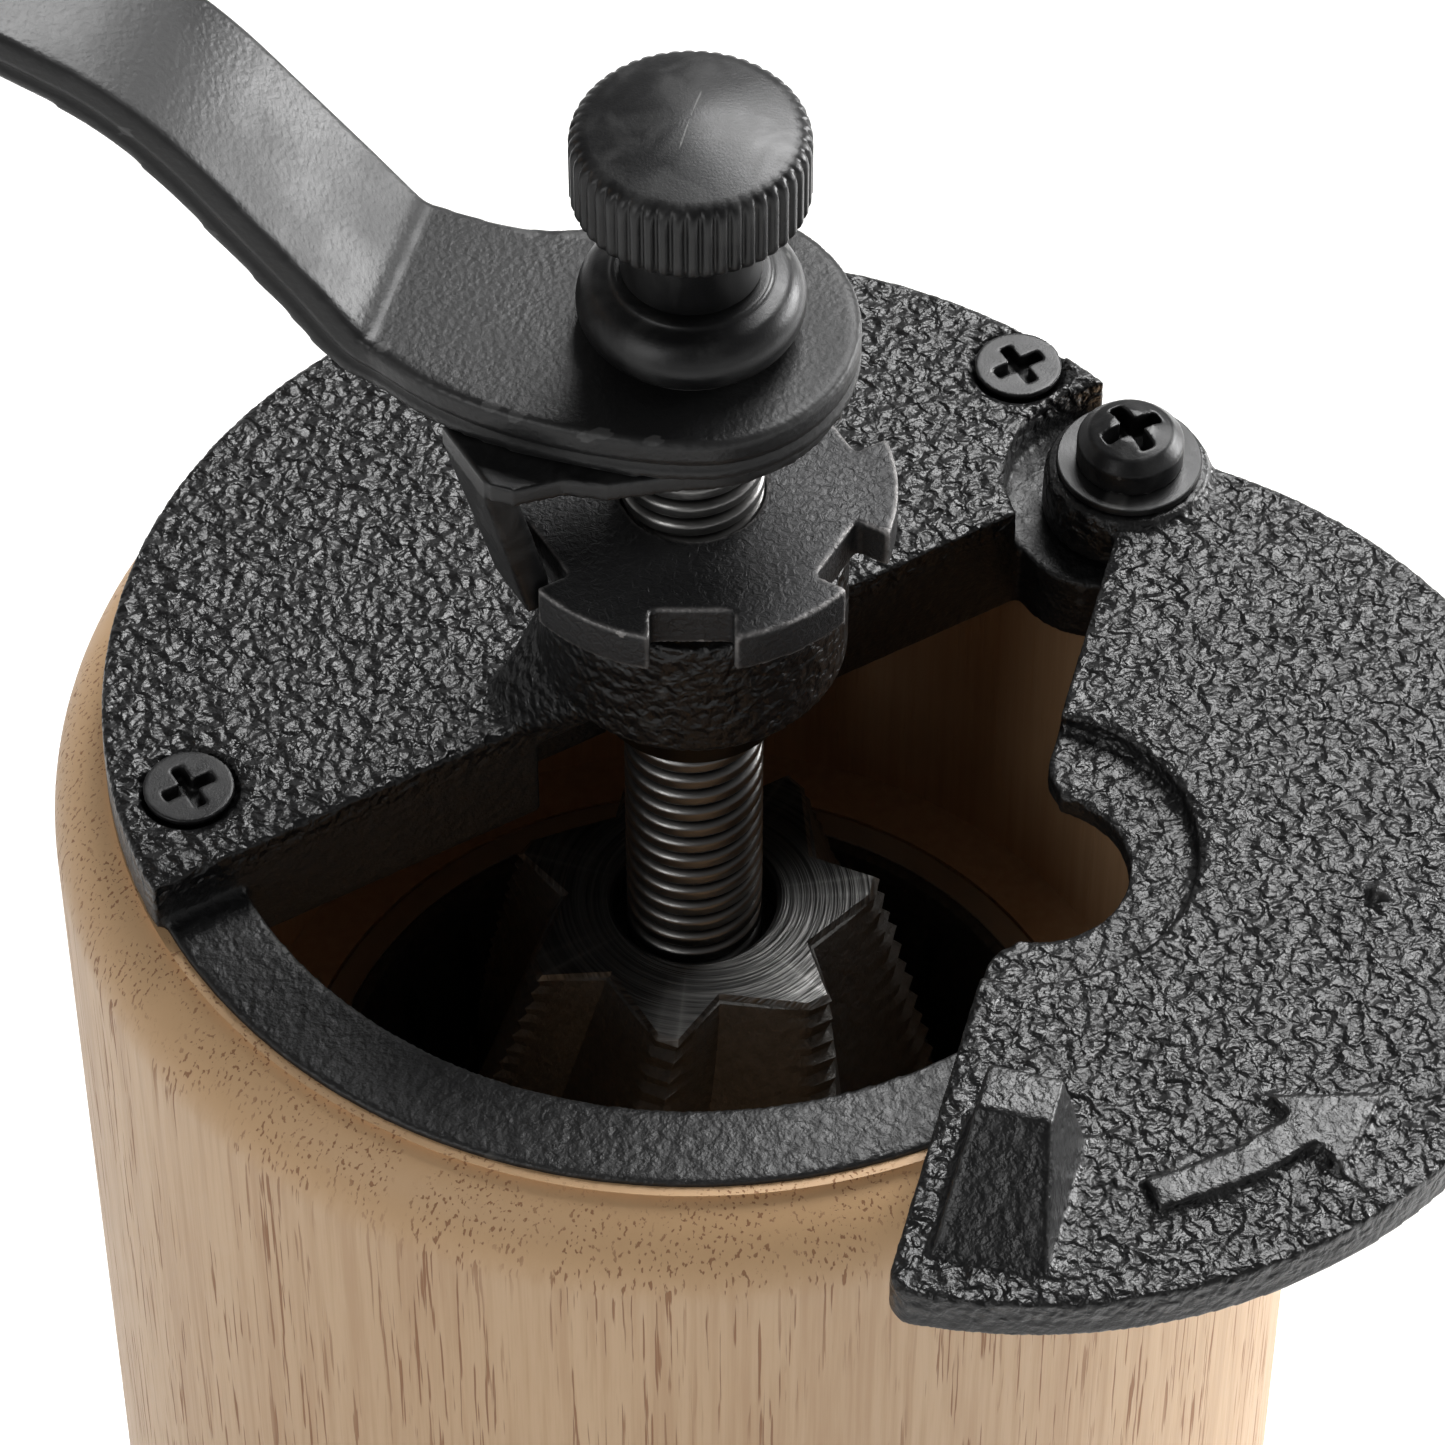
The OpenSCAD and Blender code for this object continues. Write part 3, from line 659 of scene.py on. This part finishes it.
def threaded_shaft():
    """Shaft with a real helical thread, two flats for the crank, and a plain stud on top."""
    low, high = SHAFT_BOX[0].z / MM, SHAFT_BOX[1].z / MM
    shoulder = ARM_LOW + ARM_T - 0.2
    flats_low = ARM_LOW - 2.2
    thread_low = BURR_TOP - 8
    columns, per_pitch = 72, 18
    step = THREAD_PITCH / per_pitch
    heights = [low, low + 0.6]
    z = thread_low
    while z < shoulder:
        heights.append(z)
        z += step
    heights += [shoulder - 0.001, shoulder, shoulder + 0.001, high - 0.5, high]
    points = []
    for z in heights:
        for j in range(columns):
            angle = 2 * math.pi * j / columns
            radius = shaft_radius(z, angle, low, high, shoulder, thread_low)
            x, y = radius * math.cos(angle), radius * math.sin(angle)
            if flats_low < z < shoulder:
                across = -x * math.sin(ARM_DIR) + y * math.cos(ARM_DIR)
                spare = across - max(-FLATS_HALF, min(FLATS_HALF, across))
                x += spare * math.sin(ARM_DIR)
                y -= spare * math.cos(ARM_DIR)
            points.append((x, y, z))
    rows = len(heights)
    faces = grid_faces(rows, columns)
    faces.append(tuple(reversed(range(columns))))
    faces.append(tuple(range((rows - 1) * columns, rows * columns)))
    shaft = mesh_object("shaft_threaded", points, faces)
    weld_and_point_outwards(shaft, WELD_DISTANCE / 10)
    place(shaft, "spindle", ["shaft"], "steel", THREAD_STEEL)


def shaft_radius(z, angle, low, high, shoulder, thread_low):
    """Radius of the shaft's surface: a chamfered end, a plain journal, the thread and the stud."""
    stud_chamfer, end_chamfer, thread_depth, groove_sharpness = 0.4, 0.6, 0.75, 3.2
    if z > shoulder:
        return STUD_R - (stud_chamfer if z >= high else 0.0)
    if z < low + 0.3:
        return SHAFT_R - end_chamfer
    if z < thread_low + 0.1:
        return SHAFT_R
    phase = (z / THREAD_PITCH - angle / (2 * math.pi)) % 1.0
    valley = 0.5 + 0.5 * math.cos(2 * math.pi * phase)
    return SHAFT_R - thread_depth * valley ** groove_sharpness


def thumb_nut():
    """Knurled head with a rolled lower edge and a shallow cone, on a plain neck."""
    low, high = NUT_BOX[0].z / MM, NUT_BOX[1].z / MM
    radius = NUT_BOX[1].x / MM
    head_high = HEAD_LOW + HEAD_H
    columns_per_knurl, knurl_depth = 8, 0.42
    columns = KNURLS * columns_per_knurl
    bore = STUD_R + FIT
    bore_top = ARM_LOW + ARM_T + 12
    band_low, band_h, band_steps = HEAD_LOW + 0.9, HEAD_H - 1.9, 6
    cone_r, rim = radius - 0.8, head_high + 0.08
    apex_round, cone_rows = 0.4, 14
    # Each row is (radius, height, share of the knurl's depth)
    rows = [(bore, low, 0), (4.4, low, 0), (NECK_R, low + 0.3, 0), (NECK_R, HEAD_LOW - 0.6, 0),
            (NECK_R + 0.5, HEAD_LOW, 0), (radius - 1.1, HEAD_LOW, 0),
            (radius - 0.5, HEAD_LOW + 0.15, 0.3), (radius - 0.12, HEAD_LOW + 0.55, 0.8)]
    rows += [(radius, band_low + k * band_h / band_steps, 1) for k in range(band_steps + 1)]
    rows += [(radius - 0.10, head_high - 0.55, 0.7), (radius - 0.34, head_high - 0.2, 0.3),
             (cone_r, rim, 0)]
    whole_drop = math.hypot(1, apex_round) - apex_round
    for k in range(1, cone_rows):
        share = 1 - k / cone_rows
        drop = (math.hypot(share, apex_round) - apex_round) / whole_drop
        rows.append((cone_r * share, high - (high - rim) * drop, 0))
    tip = rows[-1][1]
    rows += [(0.0, tip, 0), (0.0, bore_top, 0), (bore, bore_top - 1, 0)]
    points = []
    for row_radius, height, share in rows:
        for j in range(columns):
            angle = 2 * math.pi * j / columns
            tooth = abs(2 * ((j / columns_per_knurl) % 1.0) - 1)
            r = row_radius - knurl_depth * share * smooth_step(tooth, 0.35, 1.0)
            points.append((r * math.cos(angle), r * math.sin(angle), height))
    nut = mesh_object("thumb_nut_knurled", points, grid_faces(len(rows), columns, closed_rows=True))
    weld_and_point_outwards(nut)
    place(nut, "top_nut", ["thumb_nut"], "black_steel", BLACK_OXIDE)


def collar():
    """Domed collar: a low foot, a round bulge and a narrower lip under the thumb nut."""
    low, high = COLLAR_BOX[0].z / MM, COLLAR_BOX[1].z / MM
    radius = COLLAR_BOX[1].x / MM
    bore = STUD_R + FIT
    bulge_r = 2.4
    centre_r, centre_z = radius - bulge_r, low + bulge_r
    angles = [math.radians(12 * k - 72) for k in range(12)]
    bulge = [(centre_r + bulge_r * math.cos(a), centre_z + bulge_r * math.sin(a)) for a in angles]
    profile = [(bore, low), (radius - 1.2, low)] + bulge + [(5.5, low + 4.75), (5.3, high), (bore, high)]
    piece = lathe("collar_domed", round_corners(profile, 0.25, steps=3), segments=128)
    place(piece, "crank_collar", ["collar"], "black_steel", BLACK_OXIDE)


def grip():
    """Turned grip with one scored line near its lower end, a bore for its pin and a hollow top."""
    low, high = GRIP_BOX[0].z / MM, GRIP_BOX[1].z / MM - 0.01
    centre = ((GRIP_BOX[0].x + GRIP_BOX[1].x) / 2 / MM, (GRIP_BOX[0].y + GRIP_BOX[1].y) / 2 / MM)
    length = high - low
    bore, hollow_r, hollow_floor = 3.6, 5.6, 42
    outer = [(7.2, 0), (8.2, 1), (8.6, 4), (8.75, 5.2), (8.45, 5.5), (8.8, 5.8), (8.9, 7), (9.5, 12),
             (10.9, 20), (12.1, 28), (12.4, 33), (11.9, 38), (10.1, 42.5), (7.4, 45.0),
             (hollow_r + 0.6, length), (hollow_r, length)]
    inner = [(hollow_r, hollow_floor), (bore, hollow_floor), (bore, 0)]
    profile = [(r, low + z) for r, z in outer + inner]
    piece = lathe("grip_turned", round_corners(profile, 0.9, steps=5), segments=128, centre=centre)
    place(piece, "hand_grip", ["grip"], "body_wood", GRIP_WOOD)


# ---------------------------------------------------------------- wood

def wood_body():
    """Turned body: rounded shoulder, recess for the cast top, hopper, and the socket below."""
    low = WOOD_BOX[0].z / MM
    edge = WOOD_EDGE_R
    throat_r, chamber_r, socket_r = 30.8, SPIGOT_R - 0.6, SPIGOT_R + 2
    chamber_top, socket_top = HOLDER_LOW + 3, low + 10
    angles = [math.radians(6 * k) for k in range(16)]
    shoulder = [(WOOD_R - edge + edge * math.cos(a), WOOD_TOP - edge + edge * math.sin(a)) for a in angles]
    profile = [(WOOD_R - 0.6, low), (WOOD_R, low + 0.6)] + shoulder
    profile += [(RECESS_R + 0.3, WOOD_TOP), (RECESS_R, WOOD_TOP - 0.3), (RECESS_R, SEAT_Z),
                (HOPPER_R, SEAT_Z), (HOPPER_R, HOPPER_FLOOR), (throat_r, HOPPER_FLOOR),
                (throat_r, chamber_top), (chamber_r, chamber_top), (chamber_r, socket_top),
                (socket_r, socket_top), (socket_r, low)]
    piece = lathe("wood_body_turned", subdivide_profile(profile, 3.0), segments=224)
    sharpen(piece)
    place(piece, "mill_body", ["wood_body"], "body_wood", BODY_WOOD)


def grounds_cup():
    """Turned cup with a seat for its metal ring in the mouth and a recess for the pad below."""
    low, high = CUP_BOX[0].z / MM, CUP_BOX[1].z / MM
    bore = WOOD_R - 11
    floor_top, floor_fillet = 9, 1.5
    seat = high - 8
    profile = [(0, PAD_TOP), (PAD_R, PAD_TOP), (PAD_R, low), (WOOD_R - 1.5, low), (WOOD_R - 0.5, low + 0.4),
               (WOOD_R, low + 1.5), (WOOD_R, high - 0.6), (WOOD_R - 0.6, high), (SPIGOT_R, high),
               (SPIGOT_R, seat), (bore, seat), (bore, floor_top + floor_fillet),
               (bore - floor_fillet, floor_top), (0, floor_top)]
    piece = lathe("grounds_cup_turned", subdivide_profile(profile, 3.0), segments=224)
    sharpen(piece)
    place(piece, "cup", ["grounds_cup"], "body_wood", CUP_WOOD)


# ---------------------------------------------------------------- burrs

def inner_burr():
    """Conical burr: saw teeth that sweep round and widen downwards, with stepped cutting edges."""
    low = BURR_BOX[0].z / MM
    height = BURR_TOP - low
    per_side, rows = 7, 90
    columns = BURR_TEETH * 3 * per_side
    sweep = math.radians(26)
    bottom_r, valley_top_r, valley_bottom_r, valley_bow = 24.4, 9.6, 19.0, 0.8
    step_height = 1.7
    counterbore_r, bore = 6.1, SHAFT_R + 0.02
    chamfer_inset, chamfer_drop = 0.965, 0.4
    points = []
    for i in range(rows + 1):
        drop = height * i / rows
        share = drop / height
        tip = BURR_TOP_R + (bottom_r - BURR_TOP_R) * share
        valley = valley_top_r + (valley_bottom_r - valley_top_r) * share ** valley_bow
        turn = -sweep * share
        ledge = (drop % step_height) / step_height
        for j in range(columns):
            points.append(burr_point(j, per_side, tip, valley, turn, ledge, BURR_TOP - drop))
    # The flat top starts a little inside the outline, which leaves a chamfer round it
    inset = [(x * chamfer_inset, y * chamfer_inset, BURR_TOP) for x, y, _ in points[:columns]]
    points[:columns] = [(x, y, BURR_TOP - chamfer_drop) for x, y, _ in points[:columns]]
    points += inset
    hole = [(counterbore_r + 0.35, BURR_TOP), (counterbore_r, BURR_TOP - 0.35),
            (counterbore_r, BURR_TOP - 4), (bore, BURR_TOP - 4), (bore, low)]
    bearings = [math.atan2(y, x) for x, y, _ in points[:columns]]
    for radius, z in hole:
        points += [(radius * math.cos(angle), radius * math.sin(angle), z) for angle in bearings]
    faces = grid_faces(rows + 1, columns)
    first_inner = rows + 1
    order = [0] + list(range(first_inner, first_inner + 1 + len(hole))) + [rows]
    for a, b in zip(order, order[1:]):
        for j in range(columns):
            k = (j + 1) % columns
            faces.append((b * columns + j, b * columns + k, a * columns + k, a * columns + j))
    burr = mesh_object("inner_burr_cut", points, faces)
    weld_and_point_outwards(burr)
    sharpen(burr, 30)
    place(burr, "spindle", ["inner_burr"], "burr_iron", BURR_IRON)


def burr_point(j, per_side, tip, valley, turn, ledge, z):
    """Point on the saw-tooth outline. A tooth has a blunt tip, a short steep side and a long side.

    ledge is the place on one step of the cutting edge, from 0 at its top to 1, and wears the tip back.
    """
    tooth, rest = divmod(j, 3 * per_side)
    side, sample = divmod(rest, per_side)
    pitch = 2 * math.pi / BURR_TEETH
    blunt = (tip * 0.97, math.radians(-29))
    corners = [blunt, (tip, math.radians(-22)), (valley, math.radians(-6)), (blunt[0], blunt[1] + pitch)]
    (ra, a), (rb, b) = corners[side], corners[side + 1]
    t = sample / per_side
    x = ra * math.cos(a) * (1 - t) + rb * math.cos(b) * t
    y = ra * math.sin(a) * (1 - t) + rb * math.sin(b) * t
    radius = math.hypot(x, y)
    edge_start, smallest_depth, step_depth = 0.45, 0.001, 0.9
    outward = (radius - valley) / max(tip - valley, smallest_depth)
    nearness = max(0.0, outward - edge_start) / (1 - edge_start)
    radius -= step_depth * ledge * nearness
    angle = math.atan2(y, x) + tooth * pitch + turn
    return (radius * math.cos(angle), radius * math.sin(angle), z)


# ---------------------------------------------------------------- parts that keep their CAD shape

def dress_cad_nodes():
    """Hidden and turned parts whose CAD shape is right get a small bevel and a detailed material."""
    materials = {
        "base_pad": RUBBER, "cup_seal": RUBBER, "cup_ring": LIGHT_METAL, "socket_ring": LIGHT_METAL,
        # The hub bushing takes the darkened bronze: painted shade for the shadow under the star nut.
        "burr_holder": LIGHT_METAL, "hub_bushing": BRONZE_PAINTED_SHADE, "thrust_washer": BRONZE,
        "lower_bushing": BRONZE,
        "holder_screws": STEEL, "burr_washer": STEEL, "burr_nut": STEEL, "grip_spindle": STEEL,
        "grip_washer": STEEL, "lid_washer": BLACK_OXIDE, "outer_burr": BURR_IRON,
    }
    for node, material in materials.items():
        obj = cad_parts[node]
        obj.data.materials.clear()
        obj.data.materials.append(material)
        weld = obj.modifiers.new("weld", "WELD")
        weld.merge_threshold = WELD_DISTANCE
        bevel = obj.modifiers.new("bevel", "BEVEL")
        bevel.width = 0.12 * MM
        bevel.segments = 2
        bevel.limit_method = "ANGLE"
        bevel.angle_limit = math.radians(40)


# ---------------------------------------------------------------- stage, light and camera

def camera():
    """Long lens, well above the mill, that looks down into the open hopper."""
    azimuth, elevation = math.radians(-30), math.radians(49.8)
    distance, target_drop, target_shift = 464, 4.8, 2.06
    across = Vector((math.cos(azimuth), math.sin(azimuth), 0))
    back = Vector((math.sin(azimuth) * math.cos(elevation), -math.cos(azimuth) * math.cos(elevation),
                   math.sin(elevation)))
    target = Vector((0, 0, PLATE_TOP - target_drop)) + across * target_shift
    data = bpy.data.cameras.new("camera")
    data.lens = 162
    data.sensor_width = 36
    data.clip_start = 0.01
    obj = bpy.data.objects.new("camera", data)
    bpy.context.scene.collection.objects.link(obj)
    obj.location = (target + back * distance) * MM
    obj.rotation_mode = "QUATERNION"
    obj.rotation_quaternion = (-back).to_track_quat("-Z", "Y")
    bpy.context.scene.camera = obj


def soft_light(name, azimuth, elevation, distance, width, height, watts):
    """Softbox at an angle from +X, in degrees, that looks at the object's top. Sizes are in metres."""
    a, e = math.radians(azimuth), math.radians(elevation)
    target = Vector((0, 0, 0.14))
    data = bpy.data.lights.new(name, "AREA")
    data.shape = "RECTANGLE"
    data.size = width
    data.size_y = height
    data.energy = watts
    obj = bpy.data.objects.new(name, data)
    bpy.context.scene.collection.objects.link(obj)
    direction = Vector((math.cos(a) * math.cos(e), math.sin(a) * math.cos(e), math.sin(e)))
    obj.location = target + direction * distance
    obj.rotation_mode = "QUATERNION"
    obj.rotation_quaternion = (target - obj.location).to_track_quat("-Z", "Y")


def floor():
    """Large pale floor with a faint glow of its own, which keeps it near white."""
    s = Shader("floor")
    tone = s.mix(s.noise(0.01, detail=2.0), (0.86, 0.86, 0.855), (0.90, 0.90, 0.895))
    material = s.set(tone, 0.7)
    s.bsdf.inputs["Emission Color"].default_value = (1.0, 1.0, 0.995, 1.0)
    s.bsdf.inputs["Emission Strength"].default_value = 0.22
    half = 2500
    corners = [(-half, -half, 0), (half, -half, 0), (half, half, 0), (-half, half, 0)]
    obj = mesh_object("floor", corners, [(0, 1, 2, 3)], smooth=False)
    obj.data.materials.append(material)


def studio():
    """Pale walls that darken overhead, three softboxes and a neutral view."""
    world = bpy.data.worlds.new("studio")
    world.use_nodes = True
    tree = world.node_tree
    direction = tree.nodes.new("ShaderNodeTexCoord")
    height = tree.nodes.new("ShaderNodeSeparateXYZ")
    fade = tree.nodes.new("ShaderNodeMapRange")
    fade.interpolation_type = "SMOOTHSTEP"
    wall_low, wall_high, wall_strength, ceiling_strength = 0.08, 0.42, 0.62, 0.11
    for name, value in (("From Min", wall_low), ("From Max", wall_high),
                        ("To Min", wall_strength), ("To Max", ceiling_strength)):
        fade.inputs[name].default_value = value
    background = tree.nodes["Background"]
    background.inputs["Color"].default_value = (1.0, 1.0, 1.0, 1.0)
    tree.links.new(direction.outputs["Generated"], height.inputs[0])
    tree.links.new(height.outputs["Z"], fade.inputs["Value"])
    tree.links.new(fade.outputs["Result"], background.inputs["Strength"])
    bpy.context.scene.world = world
    soft_light("key", azimuth=33, elevation=50, distance=0.9, width=0.48, height=0.42, watts=10)
    soft_light("right_card", azimuth=-6, elevation=12, distance=0.7, width=0.34, height=0.24, watts=5.5)
    soft_light("front_fill", azimuth=-165, elevation=30, distance=0.9, width=0.35, height=0.5, watts=1.9)
    bpy.context.scene.view_settings.view_transform = "Standard"


softened_castings()
softened_hardware()
crank()
threaded_shaft()
thumb_nut()
collar()
grip()
wood_body()
grounds_cup()
inner_burr()
dress_cad_nodes()
floor()
studio()
camera()
